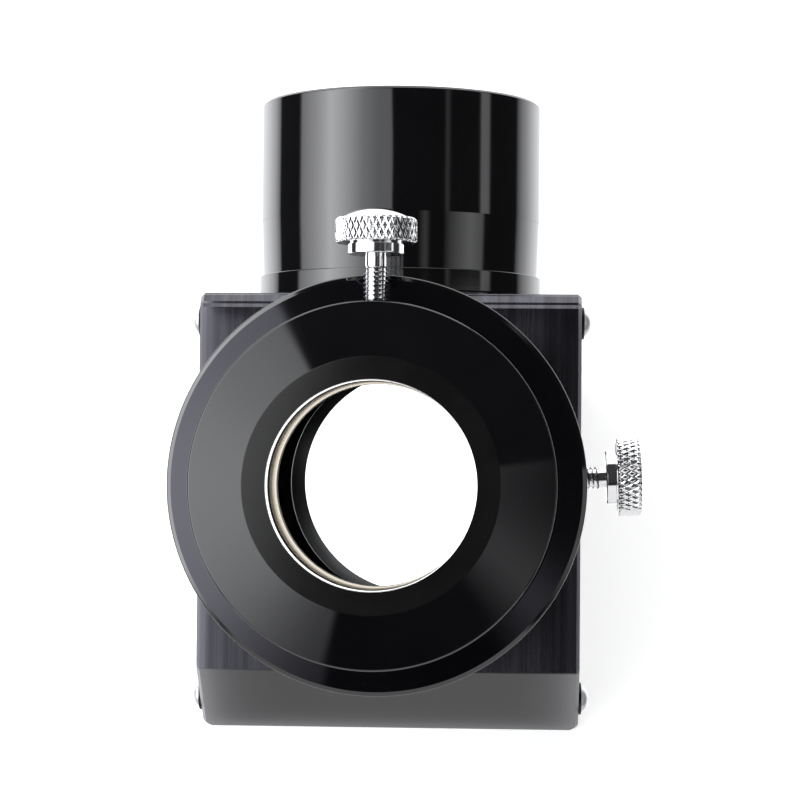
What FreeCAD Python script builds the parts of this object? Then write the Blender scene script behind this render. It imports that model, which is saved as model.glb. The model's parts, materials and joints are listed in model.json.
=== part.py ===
import FreeCAD, Part
import math
import os

# A 90 degree mirror star diagonal for 50.8 mm focusers, with a 31.75 mm eyepiece adapter.
# Frame: the row lies on the flat back of its mirror cell (Z = 0), +Z up, +X to the right.
# The two optical axes cross on the mirror's face, right above the origin.  The eyepiece side
# points along w = (0, -1, 1) / sqrt 2 and the nosepiece along v = (0, 1, 1) / sqrt 2.
# Turned parts are drawn as (radius, height) outlines about their own optical axis, where the
# height is the distance from the crossing.  All lengths are in millimetres.

# Housing: a roof-shaped block on a flat mirror cell, closed by two side plates.
MIRROR_HEIGHT = 15.05
BODY_WIDTH = 65.0
FACE_DISTANCE = 32.5
CELL_LENGTH = 90.6
CELL_DEPTH = 15.0
RIDGE_CHAMFER = 2.0
EDGE_CHAMFER = 0.6
CELL_CORNER_RADIUS = 1.8
SEAM_CHAMFER = 0.3
WALL = 6.0
CELL_FLOOR = 5.0
CELL_POCKET_WIDTH = 54.0
CELL_POCKET_LENGTH = 75.0

# Side plates, each let in flush and held by three button-head screws on washers.
PLATE_THICKNESS = 2.0
PLATE_MARGIN = 1.6
PLATE_CORNER_RADIUS = 1.5
SIDE_SCREW_RADIUS = 1.25
SIDE_SCREW_LENGTH = 6.0
SIDE_HEAD_RADIUS = 2.25
SIDE_HEAD_HEIGHT = 1.3
SIDE_SOCKET_RADIUS = 0.85
SIDE_SOCKET_DEPTH = 0.7
WASHER_RADIUS = 2.75
WASHER_THICKNESS = 0.5
WASHER_BEVEL = 0.2
RIDGE_SCREW_DROP = 5.4
LOW_SCREW_INSET = 3.3
LOW_SCREW_HEIGHT = 5.15

# Countersunk screws that pull the cell up against the block.
CELL_SCREW_X = 18.0
CELL_SCREW_Y = 40.5
CELL_SCREW_RADIUS = 1.5
CELL_SCREW_TOP = 18.9
CELL_HEAD_RADIUS = 2.8
CELL_HEAD_DEPTH = 1.7
CELL_SOCKET_RADIUS = 1.1
CELL_SOCKET_DEPTH = 1.2

# Mirror, with pads under it, spacers round it and a gasket on its rim.
MIRROR_WIDTH = 52.0
MIRROR_LENGTH = 72.0
MIRROR_THICKNESS = 8.0
MIRROR_CORNER_CUT = 6.0
MIRROR_BEVEL = 0.4
PAD_SIZE = 10.0
PAD_X = 18.0
PAD_Y = 27.0
SPACER_Y = 18.0
SPACER_LENGTH = 8.0
SPACER_HEIGHT = 5.0
GASKET_BORDER = 1.6

# Both ports of the block hold a threaded spigot of the same size.
PORT_THREAD_RADIUS = 24.5
PORT_BORE_RADIUS = 22.35
SPIGOT_END = 26.8

# Nosepiece, a 50.8 mm barrel with a shallow safety undercut.
BARREL_RADIUS = 25.4
NOSE_END = 69.0
NOSE_RELIEF_RADIUS = 25.0
NOSE_RELIEF_TOP = 33.5
NOSE_SHOULDER_RADIUS = 25.65
NOSE_SHOULDER_TOP = 37.4
NOSE_UNDERCUT_RADIUS = 25.0
NOSE_UNDERCUT_TOP = 47.3
NOSE_RIM_CHAMFER = 0.4
NOSE_BORE_RADIUS = 22.9
FILTER_THREAD_RADIUS = 23.6
FILTER_THREAD_DEPTH = 6.0

# Holder for 50.8 mm barrels.
HOLDER_RADIUS = 32.75
HOLDER_TOP = 68.0
HOLDER_EDGE_RADIUS = 0.5
HOLDER_SEAT_RADIUS = 28.5
HOLDER_FACE_DROP = 1.0
HOLDER_BORE_RADIUS = 25.45
HOLDER_STOP = 40.0
HOLDER_GROOVE_RADIUS = 27.2
HOLDER_GROOVE_LENGTH = 6.0
HOLDER_RING_LENGTH = 5.6
HOLDER_RING_OUTER = 26.6
HOLDER_RING_INNER = 25.42
HOLDER_SCREW_HEIGHT = 50.0
HOLDER_SCREW_ANGLE = 2.3

# Adapter from 50.8 mm to 31.75 mm.
ADAPTER_BARREL_RADIUS = 25.37
ADAPTER_BARREL_END = 42.0
ADAPTER_BARREL_CHAMFER = 0.6
ADAPTER_SEAT_GAP = 0.05
ADAPTER_HEAD_RADIUS = 28.0
ADAPTER_HEAD_TOP = 78.0
ADAPTER_HEAD_CHAMFER = 0.2
ADAPTER_CONE_RADIUS = 19.5
ADAPTER_CONE_TOP = 79.9
ADAPTER_MOUTH_TOP = 79.8
EYEPIECE_BORE_RADIUS = 15.9
ADAPTER_GROOVE_RADIUS = 17.8
ADAPTER_GROOVE_LOW = 62.7
ADAPTER_GROOVE_TOP = 73.6
ADAPTER_LAND_LOW = 60.7
ADAPTER_RELIEF_RADIUS = 20.0
ADAPTER_RELIEF_TOP = 58.0
ADAPTER_RING_OUTER = 17.2
ADAPTER_RING_PLAY = 0.2
ADAPTER_RING_LEAD_IN = 0.8
ADAPTER_RING_LEAD_LENGTH = 3.7
ADAPTER_SCREW_HEIGHT = 71.8
ADAPTER_SCREW_ANGLE = 90.0
ADAPTER_GAP_ANGLE = 0.0
RING_GAP = 3.0

# Thumbscrews: an M4 stud that travels, and a knurled head that turns it.
THREAD_HOLE_RADIUS = 2.0
STUD_RADIUS = 1.95
STUD_TIP_GAP = 0.15
STUD_TIP_CHAMFER = 0.4
NECK_RADIUS = 1.6
HOLDER_NECK_LENGTH = 1.1
ADAPTER_NECK_LENGTH = 1.8
KNOB_BORE_CLEARANCE = 0.05
KNOB_BORE_DEPTH = 3.0
COLLAR_RADIUS = 4.3
COLLAR_HEIGHT = 1.8
KNOB_RADIUS = 6.3
KNOB_HEIGHT = 3.8
KNOB_CROWN = 1.6
KNOB_EDGE = 0.3
HOLDER_KNOB_START = 36.1
ADAPTER_KNOB_START = 35.4

SIDES = {"left": -1, "right": 1}
HALF_WIDTH = BODY_WIDTH / 2
HALF_LENGTH = CELL_LENGTH / 2
UP = FreeCAD.Vector(0, 0, 1)
ACROSS = FreeCAD.Vector(1, 0, 0)
CROSSING = FreeCAD.Vector(0, 0, MIRROR_HEIGHT)
EYEPIECE_TILT = 45.0
NOSEPIECE_TILT = -45.0
OVERCUT = 1.0
NEAR = 0.01
FULL_TURN = 360
HALF_TURN = 180
QUARTER_TURN = 90


def save(shape, node):
    shape.exportStep("parts/" + node + ".step")
    print(node, "solids", len(shape.Solids), "valid", shape.isValid(), "volume", round(shape.Volume, 1))


def turned(outline):
    """A solid of revolution about Z from (radius, height) corners."""
    corners = [FreeCAD.Vector(radius, 0, height) for radius, height in outline]
    wire = Part.makePolygon(corners + corners[:1])
    return Part.Face(wire).revolve(FreeCAD.Vector(), UP, FULL_TURN)


def cylinder(radius, low, high):
    return Part.makeCylinder(radius, high - low, FreeCAD.Vector(0, 0, low))


def prism(outline, half_width):
    """A solid along X from (Y, Z) corners, centred on X = 0."""
    corners = [FreeCAD.Vector(-half_width, y, z) for y, z in outline]
    wire = Part.makePolygon(corners + corners[:1])
    return Part.Face(wire).extrude(ACROSS * (2 * half_width))


def block(size_x, size_y, low, high):
    """A box centred on the Z axis."""
    corner = FreeCAD.Vector(-size_x / 2, -size_y / 2, low)
    return Part.makeBox(size_x, size_y, high - low, corner)


def on_axis(shape, tilt):
    """Carries a part drawn about Z onto an optical axis."""
    placed = shape.copy()
    placed.rotate(FreeCAD.Vector(), ACROSS, tilt)
    placed.translate(CROSSING)
    return placed


def edges_where(shape, test):
    """The edges whose two ends both pass the test."""
    return [e for e in shape.Edges if len(e.Vertexes) == 2 and all(test(v.Point) for v in e.Vertexes)]


def circle_edges(shape, radius, height):
    """The circular edges about Z at one radius and height."""
    found = []
    for edge in shape.Edges:
        curve = edge.Curve
        if not isinstance(curve, Part.Circle):
            continue
        if abs(curve.Radius - radius) < NEAR and abs(curve.Center.z - height) < NEAR:
            found.append(edge)
    return found


def face_line(distance, height):
    """The Y where a 45 degree plane at this distance from the crossing reaches a height."""
    return distance * math.sqrt(2) - (height - MIRROR_HEIGHT)


def roof_outline(distance, low, high):
    """The (Y, Z) outline under both 45 degree planes, between two heights."""
    return [
        (-face_line(distance, low), low),
        (face_line(distance, low), low),
        (face_line(distance, high), high),
        (-face_line(distance, high), high),
    ]


RIDGE_TOP = MIRROR_HEIGHT + FACE_DISTANCE * math.sqrt(2) - RIDGE_CHAMFER / math.sqrt(2)
RIDGE_HALF = RIDGE_CHAMFER / math.sqrt(2)
CELL_TOP = MIRROR_HEIGHT + FACE_DISTANCE * math.sqrt(2) - HALF_LENGTH
SCREW_PLACES = [
    (0.0, RIDGE_TOP - RIDGE_SCREW_DROP),
    (-HALF_LENGTH + LOW_SCREW_INSET, LOW_SCREW_HEIGHT),
    (HALF_LENGTH - LOW_SCREW_INSET, LOW_SCREW_HEIGHT),
]


def side_outline():
    return [
        (-HALF_LENGTH, 0.0),
        (HALF_LENGTH, 0.0),
        (HALF_LENGTH, CELL_TOP),
        (RIDGE_HALF, RIDGE_TOP),
        (-RIDGE_HALF, RIDGE_TOP),
        (-HALF_LENGTH, CELL_TOP),
    ]


def plate_blank(side):
    """The side plate before its holes, let in flush with the housing's side."""
    corners = [FreeCAD.Vector(side * HALF_WIDTH, y, z) for y, z in side_outline()]
    wire = Part.makePolygon(corners + corners[:1])
    inner = wire.makeOffset2D(-PLATE_MARGIN, join=2)
    plate = Part.Face(inner).extrude(ACROSS * (-side * PLATE_THICKNESS))
    across = [e for e in plate.Edges if abs(abs(e.tangentAt(e.FirstParameter).x) - 1) < NEAR]
    return plate.makeFillet(PLATE_CORNER_RADIUS, across)


def at_side_screws(shape, side):
    """Copies a piece drawn about +Z from the plate's outer face to the three screw places."""
    copies = []
    for y, z in SCREW_PLACES:
        copy = shape.copy()
        copy.rotate(FreeCAD.Vector(), FreeCAD.Vector(0, 1, 0), side * QUARTER_TURN)
        copy.translate(FreeCAD.Vector(side * HALF_WIDTH, y, z))
        copies.append(copy)
    return Part.makeCompound(copies)


def side_screw():
    base = WASHER_THICKNESS
    crown = base + SIDE_HEAD_HEIGHT
    ball = (SIDE_HEAD_RADIUS**2 + SIDE_HEAD_HEIGHT**2) / (2 * SIDE_HEAD_HEIGHT)
    dome = Part.makeSphere(ball, FreeCAD.Vector(0, 0, crown - ball))
    head = dome.common(cylinder(SIDE_HEAD_RADIUS, base, crown))
    socket = cylinder(SIDE_SOCKET_RADIUS, crown - SIDE_SOCKET_DEPTH, crown)
    shank = cylinder(SIDE_SCREW_RADIUS, -SIDE_SCREW_LENGTH, base)
    return head.cut(socket).fuse(shank).removeSplitter()


def washer():
    rim = WASHER_RADIUS - WASHER_BEVEL
    shoulder = WASHER_THICKNESS - WASHER_BEVEL
    return turned([
        (SIDE_SCREW_RADIUS, 0.0),
        (WASHER_RADIUS, 0.0),
        (WASHER_RADIUS, shoulder),
        (rim, WASHER_THICKNESS),
        (SIDE_SCREW_RADIUS, WASHER_THICKNESS),
    ])


def side_screw_holes(side):
    hole = cylinder(SIDE_SCREW_RADIUS, -SIDE_SCREW_LENGTH, OVERCUT)
    return at_side_screws(hole, side)


def make_side_plates():
    for name, side in SIDES.items():
        save(plate_blank(side).cut(side_screw_holes(side)), name + "_side_plate")
        save(at_side_screws(side_screw(), side), name + "_side_screws")
        save(at_side_screws(washer(), side), name + "_side_washers")


def cell_screw():
    return turned([
        (0.0, CELL_SOCKET_DEPTH),
        (CELL_SOCKET_RADIUS, CELL_SOCKET_DEPTH),
        (CELL_SOCKET_RADIUS, 0.0),
        (CELL_HEAD_RADIUS, 0.0),
        (CELL_SCREW_RADIUS, CELL_HEAD_DEPTH),
        (CELL_SCREW_RADIUS, CELL_SCREW_TOP),
        (0.0, CELL_SCREW_TOP),
    ])


def cell_screws(hollow_heads=True):
    """The four cell screws; with filled heads they also cut their own seats."""
    screw = cell_screw()
    if not hollow_heads:
        screw = screw.fuse(cylinder(CELL_SOCKET_RADIUS, 0.0, CELL_SOCKET_DEPTH))
    copies = []
    for x in (-CELL_SCREW_X, CELL_SCREW_X):
        for y in (-CELL_SCREW_Y, CELL_SCREW_Y):
            copy = screw.copy()
            copy.translate(FreeCAD.Vector(x, y, 0))
            copies.append(copy)
    return Part.makeCompound(copies)


def fastener_cuts():
    cuts = [cell_screws(hollow_heads=False)]
    for side in SIDES.values():
        cuts.append(plate_blank(side))
        cuts.append(side_screw_holes(side))
    return cuts


def make_block():
    """The roof-shaped block: two 45 degree walls joined at a flat ridge."""
    outer = prism(roof_outline(FACE_DISTANCE, CELL_TOP, RIDGE_TOP), HALF_WIDTH)
    rim = edges_where(outer, lambda p: abs(abs(p.x) - HALF_WIDTH) < NEAR)
    rim = [e for e in rim if e.BoundBox.ZMax > CELL_TOP + NEAR]
    outer = outer.makeChamfer(EDGE_CHAMFER, rim)
    ceiling = MIRROR_HEIGHT + (FACE_DISTANCE - WALL) * math.sqrt(2) - RIDGE_HALF
    cavity = prism(roof_outline(FACE_DISTANCE - WALL, CELL_TOP - OVERCUT, ceiling), BODY_WIDTH)
    port = cylinder(PORT_THREAD_RADIUS, FACE_DISTANCE - WALL - OVERCUT, FACE_DISTANCE + OVERCUT)
    cuts = [cavity, on_axis(port, EYEPIECE_TILT), on_axis(port, NOSEPIECE_TILT)]
    save(outer.cut(cuts + fastener_cuts()), "body_block")


def make_mirror_cell():
    outer = block(BODY_WIDTH, CELL_LENGTH, 0.0, CELL_TOP)
    long_edges = edges_where(outer, lambda p: p.z < NEAR)
    long_edges = [e for e in long_edges if e.BoundBox.YLength > BODY_WIDTH]
    outer = outer.makeFillet(CELL_CORNER_RADIUS, long_edges)
    corners = [e for e in outer.Edges if e.BoundBox.ZLength > CELL_TOP / 2 and e.BoundBox.YLength < NEAR]
    outer = outer.makeChamfer(EDGE_CHAMFER, corners)
    top = edges_where(outer, lambda p: p.z > CELL_TOP - NEAR)
    outer = outer.makeChamfer(SEAM_CHAMFER, top)
    pocket = block(CELL_POCKET_WIDTH, CELL_POCKET_LENGTH, CELL_FLOOR, CELL_TOP + OVERCUT)
    save(outer.cut([pocket] + fastener_cuts()), "mirror_cell")


def make_cell_screws():
    save(cell_screws(), "cell_screws")


def mirror_blank(grow, low, high):
    """The mirror's outline, a rectangle with its corners cut off, grown all round."""
    x = MIRROR_WIDTH / 2 + grow
    y = MIRROR_LENGTH / 2 + grow
    cut = MIRROR_CORNER_CUT
    points = [(x, y - cut), (x - cut, y), (cut - x, y), (-x, y - cut)]
    points += [(-px, -py) for px, py in points]
    corners = [FreeCAD.Vector(px, py, low) for px, py in points]
    wire = Part.makePolygon(corners + corners[:1])
    return Part.Face(wire).extrude(UP * (high - low))


def make_mirror():
    low = MIRROR_HEIGHT - MIRROR_THICKNESS
    glass = mirror_blank(0.0, low, MIRROR_HEIGHT)
    rim = edges_where(glass, lambda p: p.z > MIRROR_HEIGHT - NEAR)
    save(glass.makeChamfer(MIRROR_BEVEL, rim), "mirror")


def make_mirror_pads():
    low = MIRROR_HEIGHT - MIRROR_THICKNESS
    pads = []
    for x in (-PAD_X, PAD_X):
        for y in (-PAD_Y, PAD_Y):
            pad = block(PAD_SIZE, PAD_SIZE, CELL_FLOOR, low)
            pad.translate(FreeCAD.Vector(x, y, 0))
            pads.append(pad)
    save(Part.makeCompound(pads), "mirror_pads")


def make_mirror_spacers():
    """Two strips on each long side and one on each end keep the mirror centred."""
    side_gap = (CELL_POCKET_WIDTH - MIRROR_WIDTH) / 2
    end_gap = (CELL_POCKET_LENGTH - MIRROR_LENGTH) / 2
    top = MIRROR_HEIGHT - MIRROR_THICKNESS + SPACER_HEIGHT
    low = MIRROR_HEIGHT - MIRROR_THICKNESS
    strips = []
    for side in (-1, 1):
        for y in (-SPACER_Y, SPACER_Y):
            strip = block(side_gap, SPACER_LENGTH, low, top)
            strip.translate(FreeCAD.Vector(side * (MIRROR_WIDTH + side_gap) / 2, y, 0))
            strips.append(strip)
        strip = block(SPACER_LENGTH, end_gap, low, top)
        strip.translate(FreeCAD.Vector(0, side * (MIRROR_LENGTH + end_gap) / 2, 0))
        strips.append(strip)
    save(Part.makeCompound(strips), "mirror_spacers")


def make_mirror_gasket():
    """A thin frame between the mirror's rim and the block above it."""
    opening_half = face_line(FACE_DISTANCE - WALL, CELL_TOP)
    outer = block(CELL_POCKET_WIDTH, CELL_POCKET_LENGTH, MIRROR_HEIGHT, CELL_TOP)
    inner_width = MIRROR_WIDTH - 2 * GASKET_BORDER
    inner_length = 2 * (opening_half - GASKET_BORDER)
    inner = block(inner_width, inner_length, MIRROR_HEIGHT - OVERCUT, CELL_TOP + OVERCUT)
    save(outer.cut(inner), "mirror_gasket")


def make_nosepiece():
    rim = NOSE_END - NOSE_RIM_CHAMFER
    thread_low = NOSE_END - FILTER_THREAD_DEPTH
    tube = turned([
        (PORT_BORE_RADIUS, SPIGOT_END),
        (PORT_THREAD_RADIUS, SPIGOT_END),
        (PORT_THREAD_RADIUS, FACE_DISTANCE),
        (NOSE_RELIEF_RADIUS, FACE_DISTANCE),
        (NOSE_RELIEF_RADIUS, NOSE_RELIEF_TOP),
        (NOSE_SHOULDER_RADIUS, NOSE_RELIEF_TOP),
        (NOSE_SHOULDER_RADIUS, NOSE_SHOULDER_TOP),
        (NOSE_UNDERCUT_RADIUS, NOSE_SHOULDER_TOP),
        (BARREL_RADIUS, NOSE_UNDERCUT_TOP),
        (BARREL_RADIUS, rim),
        (BARREL_RADIUS - NOSE_RIM_CHAMFER, NOSE_END),
        (FILTER_THREAD_RADIUS, NOSE_END),
        (FILTER_THREAD_RADIUS, thread_low),
        (NOSE_BORE_RADIUS, thread_low),
        (NOSE_BORE_RADIUS, NOSE_RELIEF_TOP),
    ])
    save(on_axis(tube, NOSEPIECE_TILT), "nosepiece")


def radial_hole(height, angle, inner, outer):
    """The tapped hole of a thumbscrew, square to the eyepiece axis."""
    hole = cylinder(THREAD_HOLE_RADIUS, inner, outer)
    return radial(hole, height, angle)


def radial(shape, height, angle):
    """Turns a piece drawn about +Z to point outward from the eyepiece axis."""
    placed = shape.copy()
    placed.rotate(FreeCAD.Vector(), FreeCAD.Vector(0, 1, 0), QUARTER_TURN)
    placed.rotate(FreeCAD.Vector(), UP, angle)
    placed.translate(FreeCAD.Vector(0, 0, height))
    return placed


def make_eyepiece_holder():
    groove_low = HOLDER_SCREW_HEIGHT - HOLDER_GROOVE_LENGTH / 2
    groove_top = HOLDER_SCREW_HEIGHT + HOLDER_GROOVE_LENGTH / 2
    rim = HOLDER_TOP - HOLDER_FACE_DROP
    tube = turned([
        (PORT_BORE_RADIUS, SPIGOT_END),
        (PORT_THREAD_RADIUS, SPIGOT_END),
        (PORT_THREAD_RADIUS, FACE_DISTANCE),
        (HOLDER_RADIUS, FACE_DISTANCE),
        (HOLDER_RADIUS, rim),
        (HOLDER_SEAT_RADIUS, HOLDER_TOP),
        (HOLDER_BORE_RADIUS, HOLDER_TOP),
        (HOLDER_BORE_RADIUS, groove_top),
        (HOLDER_GROOVE_RADIUS, groove_top),
        (HOLDER_GROOVE_RADIUS, groove_low),
        (HOLDER_BORE_RADIUS, groove_low),
        (HOLDER_BORE_RADIUS, HOLDER_STOP),
        (PORT_BORE_RADIUS, HOLDER_STOP),
    ])
    tube = tube.makeFillet(HOLDER_EDGE_RADIUS, circle_edges(tube, HOLDER_RADIUS, rim))
    outside = HOLDER_RADIUS + OVERCUT
    hole = radial_hole(HOLDER_SCREW_HEIGHT, HOLDER_SCREW_ANGLE, HOLDER_BORE_RADIUS, outside)
    save(on_axis(tube.cut(hole), EYEPIECE_TILT), "eyepiece_holder")


def split(ring, gap_angle, height):
    """Cuts the gap of a split ring."""
    gap = Part.makeBox(BODY_WIDTH, RING_GAP, BODY_WIDTH, FreeCAD.Vector(0, -RING_GAP / 2, 0))
    gap.rotate(FreeCAD.Vector(), UP, gap_angle)
    gap.translate(FreeCAD.Vector(0, 0, height - BODY_WIDTH / 2))
    return ring.cut(gap)


def make_holder_ring():
    low = HOLDER_SCREW_HEIGHT - HOLDER_RING_LENGTH / 2
    top = HOLDER_SCREW_HEIGHT + HOLDER_RING_LENGTH / 2
    ring = turned([
        (HOLDER_RING_INNER, low),
        (HOLDER_RING_OUTER, low),
        (HOLDER_RING_OUTER, top),
        (HOLDER_RING_INNER, top),
    ])
    ring = split(ring, HOLDER_SCREW_ANGLE + HALF_TURN, HOLDER_SCREW_HEIGHT)
    save(on_axis(ring, EYEPIECE_TILT), "holder_compression_ring")


def make_adapter_body():
    seat = HOLDER_TOP + ADAPTER_SEAT_GAP
    barrel_end = ADAPTER_BARREL_END
    body = turned([
        (ADAPTER_RELIEF_RADIUS, barrel_end),
        (ADAPTER_BARREL_RADIUS - ADAPTER_BARREL_CHAMFER, barrel_end),
        (ADAPTER_BARREL_RADIUS, barrel_end + ADAPTER_BARREL_CHAMFER),
        (ADAPTER_BARREL_RADIUS, seat),
        (ADAPTER_HEAD_RADIUS, seat),
        (ADAPTER_HEAD_RADIUS, ADAPTER_HEAD_TOP - ADAPTER_HEAD_CHAMFER),
        (ADAPTER_HEAD_RADIUS - ADAPTER_HEAD_CHAMFER, ADAPTER_HEAD_TOP),
        (ADAPTER_CONE_RADIUS, ADAPTER_CONE_TOP),
        (EYEPIECE_BORE_RADIUS, ADAPTER_MOUTH_TOP),
        (EYEPIECE_BORE_RADIUS, ADAPTER_GROOVE_TOP),
        (ADAPTER_GROOVE_RADIUS, ADAPTER_GROOVE_TOP),
        (ADAPTER_GROOVE_RADIUS, ADAPTER_GROOVE_LOW),
        (EYEPIECE_BORE_RADIUS, ADAPTER_GROOVE_LOW),
        (EYEPIECE_BORE_RADIUS, ADAPTER_LAND_LOW),
        (ADAPTER_RELIEF_RADIUS, ADAPTER_RELIEF_TOP),
    ])
    outside = ADAPTER_HEAD_RADIUS + OVERCUT
    hole = radial_hole(ADAPTER_SCREW_HEIGHT, ADAPTER_SCREW_ANGLE, ADAPTER_RING_OUTER, outside)
    save(on_axis(body.cut(hole), EYEPIECE_TILT), "adapter_body")


def make_adapter_ring():
    low = ADAPTER_GROOVE_LOW + ADAPTER_RING_PLAY
    top = ADAPTER_GROOVE_TOP - ADAPTER_RING_PLAY
    ring = turned([
        (EYEPIECE_BORE_RADIUS, low),
        (ADAPTER_RING_OUTER, low),
        (ADAPTER_RING_OUTER, top),
        (EYEPIECE_BORE_RADIUS + ADAPTER_RING_LEAD_IN, top),
        (EYEPIECE_BORE_RADIUS, top - ADAPTER_RING_LEAD_LENGTH),
    ])
    ring = split(ring, ADAPTER_GAP_ANGLE, ADAPTER_SCREW_HEIGHT)
    save(on_axis(ring, EYEPIECE_TILT), "adapter_compression_ring")


def stud(tip, knob_start, neck_length):
    """A stud from its tip to its end inside the knob, drawn about +Z from the eyepiece axis."""
    neck_low = knob_start - neck_length
    end = knob_start + KNOB_BORE_DEPTH - KNOB_BORE_CLEARANCE
    return turned([
        (0.0, tip),
        (STUD_RADIUS - STUD_TIP_CHAMFER, tip),
        (STUD_RADIUS, tip + STUD_TIP_CHAMFER),
        (STUD_RADIUS, neck_low),
        (NECK_RADIUS, neck_low),
        (NECK_RADIUS, end),
        (0.0, end),
    ])


def knob(start):
    """The knurled head with its collar, drawn about +Z from the eyepiece axis."""
    rim = start + COLLAR_HEIGHT
    top = rim + KNOB_HEIGHT
    crown = top + KNOB_CROWN
    bore = NECK_RADIUS + KNOB_BORE_CLEARANCE
    return turned([
        (bore, start),
        (COLLAR_RADIUS, start),
        (COLLAR_RADIUS, rim),
        (KNOB_RADIUS - KNOB_EDGE, rim),
        (KNOB_RADIUS, rim + KNOB_EDGE),
        (KNOB_RADIUS, top - KNOB_EDGE),
        (KNOB_RADIUS - KNOB_EDGE, top),
        (COLLAR_RADIUS, crown),
        (0.0, crown),
        (0.0, start + KNOB_BORE_DEPTH),
        (bore, start + KNOB_BORE_DEPTH),
    ])


def save_radial(shape, height, angle, node):
    save(on_axis(radial(shape, height, angle), EYEPIECE_TILT), node)


def make_holder_screw():
    tip = HOLDER_RING_OUTER + STUD_TIP_GAP
    screw = stud(tip, HOLDER_KNOB_START, HOLDER_NECK_LENGTH)
    save_radial(screw, HOLDER_SCREW_HEIGHT, HOLDER_SCREW_ANGLE, "holder_screw_stud")
    save_radial(knob(HOLDER_KNOB_START), HOLDER_SCREW_HEIGHT, HOLDER_SCREW_ANGLE, "holder_screw_knob")


def make_adapter_screw():
    tip = ADAPTER_RING_OUTER + STUD_TIP_GAP
    screw = stud(tip, ADAPTER_KNOB_START, ADAPTER_NECK_LENGTH)
    save_radial(screw, ADAPTER_SCREW_HEIGHT, ADAPTER_SCREW_ANGLE, "adapter_screw_stud")
    save_radial(knob(ADAPTER_KNOB_START), ADAPTER_SCREW_HEIGHT, ADAPTER_SCREW_ANGLE, "adapter_screw_knob")


os.makedirs("parts", exist_ok=True)
make_block()
make_mirror_cell()
make_side_plates()
make_cell_screws()
make_mirror()
make_mirror_pads()
make_mirror_spacers()
make_mirror_gasket()
make_nosepiece()
make_eyepiece_holder()
make_holder_ring()
make_holder_screw()
make_adapter_body()
make_adapter_ring()
make_adapter_screw()
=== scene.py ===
import json
import math

import bpy
from mathutils import Matrix, Vector

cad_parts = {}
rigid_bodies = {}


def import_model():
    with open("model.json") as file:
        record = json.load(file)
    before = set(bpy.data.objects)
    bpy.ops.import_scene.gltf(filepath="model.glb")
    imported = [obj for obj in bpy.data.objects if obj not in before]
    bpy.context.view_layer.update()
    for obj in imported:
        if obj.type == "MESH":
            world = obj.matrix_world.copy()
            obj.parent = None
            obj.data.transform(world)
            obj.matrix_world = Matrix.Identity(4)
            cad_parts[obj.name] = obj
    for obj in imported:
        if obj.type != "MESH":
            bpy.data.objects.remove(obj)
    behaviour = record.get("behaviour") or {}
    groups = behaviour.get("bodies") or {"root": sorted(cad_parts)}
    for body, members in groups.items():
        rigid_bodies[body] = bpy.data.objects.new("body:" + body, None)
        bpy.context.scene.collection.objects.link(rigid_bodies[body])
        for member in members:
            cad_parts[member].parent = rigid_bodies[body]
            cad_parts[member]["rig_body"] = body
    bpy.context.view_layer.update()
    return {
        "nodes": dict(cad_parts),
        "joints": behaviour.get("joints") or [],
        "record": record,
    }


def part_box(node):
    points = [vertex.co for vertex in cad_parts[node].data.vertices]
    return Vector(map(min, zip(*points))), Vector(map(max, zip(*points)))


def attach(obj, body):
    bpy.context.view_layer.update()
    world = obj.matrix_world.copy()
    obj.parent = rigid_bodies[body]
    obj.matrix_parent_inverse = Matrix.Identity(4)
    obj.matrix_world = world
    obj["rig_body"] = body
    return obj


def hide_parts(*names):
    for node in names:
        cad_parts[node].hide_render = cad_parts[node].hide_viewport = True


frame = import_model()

# A 90 degree star diagonal: turned, knurled and threaded pieces are built here as fine meshes on
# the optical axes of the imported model, and the housing keeps its CAD solids with new finishes.
# Everything is in metres.  Outlines are (radius, height) about an axis.  On the two optical axes
# the height is the distance from their crossing on the mirror's face, and on a thumbscrew it is
# the distance from the eyepiece axis.

MM = 0.001

# Housing.
FACE = 32.5 * MM
RIDGE_CHAMFER = 2.0 * MM
ROLL_DEPTH = 0.8 * MM
WEAR_DEPTH = 0.5 * MM
# Falloff of the mirror cell's edge masks, which carry both its worn-edge bump and its painted edge
# highlight.
EDGE_WEAR_AND_HIGHLIGHT_POWER = 10
ROLL_POWER = 16
SPIGOT_END = 26.8 * MM
PORT_RADIUS = 24.5 * MM
LIGHT_RADIUS = 22.35 * MM

# Nosepiece.
BARREL_RADIUS = 25.4 * MM
NOSE_END = 69.0 * MM
NOSE_RIM = 0.45 * MM
NOSE_RELIEF_RADIUS = 25.0 * MM
NOSE_RELIEF_TOP = 33.5 * MM
NOSE_SHOULDER_RADIUS = 25.65 * MM
NOSE_SHOULDER_TOP = 37.4 * MM
NOSE_SHOULDER_FILLETS = (0.25 * MM, 0.2 * MM)
NOSE_UNDERCUT_RADIUS = 25.0 * MM
NOSE_UNDERCUT_TOP = 47.3 * MM
NOSE_UNDERCUT_STEP = 0.06 * MM
NOSE_RIM_FILLET = 0.3 * MM
NOSE_BORE_RADIUS = 22.9 * MM
FILTER_RADIUS = 23.6 * MM
FILTER_DEPTH = 6.0 * MM
FILTER_PITCH = 0.75 * MM
FILTER_GROOVE = 0.4 * MM
FILTER_LEAD = 0.1 * MM
FILTER_STEPS = 8

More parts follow.
